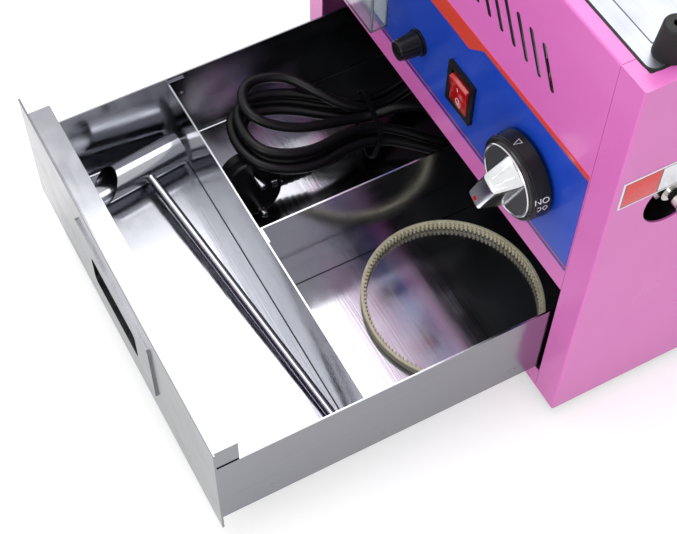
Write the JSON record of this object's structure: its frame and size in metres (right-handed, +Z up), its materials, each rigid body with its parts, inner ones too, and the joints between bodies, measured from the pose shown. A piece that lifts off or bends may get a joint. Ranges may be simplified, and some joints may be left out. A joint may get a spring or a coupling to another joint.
{
  "type": "gas heated candy floss machine",
  "caption": "Tabletop gas-heated, motor-driven candy floss machine base with spinner head, control panel and an open storage drawer; the bowl is not fitted.",
  "frame": {"origin": "on the standing plane below the feet, on the spindle axis, which is the middle of the cabinet", "axes": "+Z up along the spindle, +X to the machine's right as seen from the front, +Y from the drawer and control panel towards the back"},
  "size_m": [0.323, 0.5322, 0.339],
  "materials": {
    "pink_paint": "glossy pink powder coat",
    "deck_steel": "fine brushed stainless steel",
    "drawer_steel": "bright stainless steel sheet",
    "zinc_steel": "zinc plated steel",
    "control_blue": "printed blue control sheet",
    "black_plastic": "black moulded plastic",
    "gloss_black": "gloss black moulded plastic",
    "red_plastic": "translucent red rocker",
    "chrome_knob": "bright chrome plate",
    "clear_plastic": "clear plastic cover",
    "dial_white": "white dial",
    "needle_red": "red pointer",
    "black_rubber": "black rubber",
    "cord_black": "black cord sheath",
    "belt_beige": "beige ribbed belt",
    "brass": "machined brass",
    "cast_iron": "cast burner",
    "aluminium": "machined aluminium",
    "motor_grey": "grey motor case",
    "fuse_glass": "glass fuse"
  },
  "bodies": {
    "cabinet": {"side_panel_right": "pink_paint", "side_panel_left": "pink_paint", "front_panel": "pink_paint", "base_pan": "pink_paint", "rear_panel": "pink_paint", "control_sheet": "control_blue", "panel_screws": "zinc_steel", "power_inlet": "black_plastic", "chassis_shelf": "zinc_steel", "deck_frame": "zinc_steel", "deck_plate": "deck_steel", "bowl_bumpers": "black_rubber", "rubber_feet": "black_rubber", "gas_valve": "brass", "valve_bracket": "zinc_steel", "rocker_housing": "black_plastic", "fuse_holder": "black_plastic", "meter_cover": "clear_plastic", "meter_dial": "dial_white", "meter_body": "gloss_black", "inlet_cup": "gloss_black", "gas_inlet": "brass", "supply_pipe": "brass", "burner_pipe": "brass", "drawer_guides": "zinc_steel", "bearing_housing": "aluminium", "spindle_bearings": "zinc_steel", "drive_belt": "belt_beige", "drive_motor": "motor_grey", "motor_bracket": "zinc_steel", "burner_ring": "cast_iron", "heat_shield": "aluminium"},
    "drawer": {"drawer_tray": "drawer_steel", "drawer_front": "drawer_steel", "drawer_pull": "drawer_steel", "cross_divider": "drawer_steel", "long_divider": "drawer_steel", "divider_rivets": "drawer_steel", "scoop": "drawer_steel", "spare_belt": "belt_beige", "cord_hank": "cord_black", "cord_plug": "cord_black", "cord_connector": "cord_black", "cord_tie": "cord_black"},
    "knob_stem": {"valve_stem": "brass"},
    "knob": {"knob_skirt": "black_plastic", "knob_grip": "chrome_knob"},
    "rocker": {"power_rocker": "red_plastic"},
    "fuse_plug": {"fuse_cap": "black_plastic", "fuse_link": "fuse_glass"},
    "needle": {"meter_needle": "needle_red"},
    "spinner": {"spindle_shaft": "zinc_steel", "spindle_pulley": "aluminium", "head_base": "aluminium", "head_band": "deck_steel", "head_cover": "aluminium", "head_posts": "zinc_steel"},
    "motor_rotor": {"motor_shaft": "zinc_steel", "motor_pulley": "aluminium"}
  },
  "joints": [
    {"name": "drawer_slide", "type": "slide", "parent": "cabinet", "child": "drawer", "axis": [0, -1, 0], "range_m": [-0.2061, 0.03]},
    {"name": "knob_push", "type": "slide", "parent": "cabinet", "child": "knob_stem", "axis": [0, 1, 0], "range_m": [0, 0.0025], "stiffness_N_per_m": 800},
    {"name": "knob_turn", "type": "hinge", "parent": "knob_stem", "child": "knob", "pos_m": [0.0915, -0.17, 0.17], "axis": [0, -1, 0], "range_deg": [0, 90]},
    {"name": "rocker_tilt", "type": "hinge", "parent": "cabinet", "child": "rocker", "pos_m": [0.026, -0.1555, 0.1645], "axis": [-1, 0, 0], "range_deg": [0, 24]},
    {"name": "fuse_cap_turn", "type": "hinge", "parent": "cabinet", "child": "fuse_plug", "pos_m": [-0.019, -0.165, 0.161], "axis": [0, -1, 0], "range_deg": [0, 90]},
    {"name": "needle_swing", "type": "hinge", "parent": "cabinet", "child": "needle", "pos_m": [-0.086, -0.163, 0.152], "axis": [0, 1, 0], "range_deg": [0, 90], "stiffness_Nm_per_rad": 0.00005},
    {"name": "spinner_spin", "type": "hinge", "parent": "cabinet", "child": "spinner", "pos_m": [0, 0, 0.2], "axis": [0, 0, 1], "continuous": true},
    {"name": "motor_spin", "type": "hinge", "parent": "cabinet", "child": "motor_rotor", "pos_m": [-0.07778, 0.07778, 0.15], "axis": [0, 0, 1], "continuous": true}
  ],
  "couplings": [
    {"joint": "motor_spin", "follows": "spinner_spin", "ratio": 2.5}
  ]
}
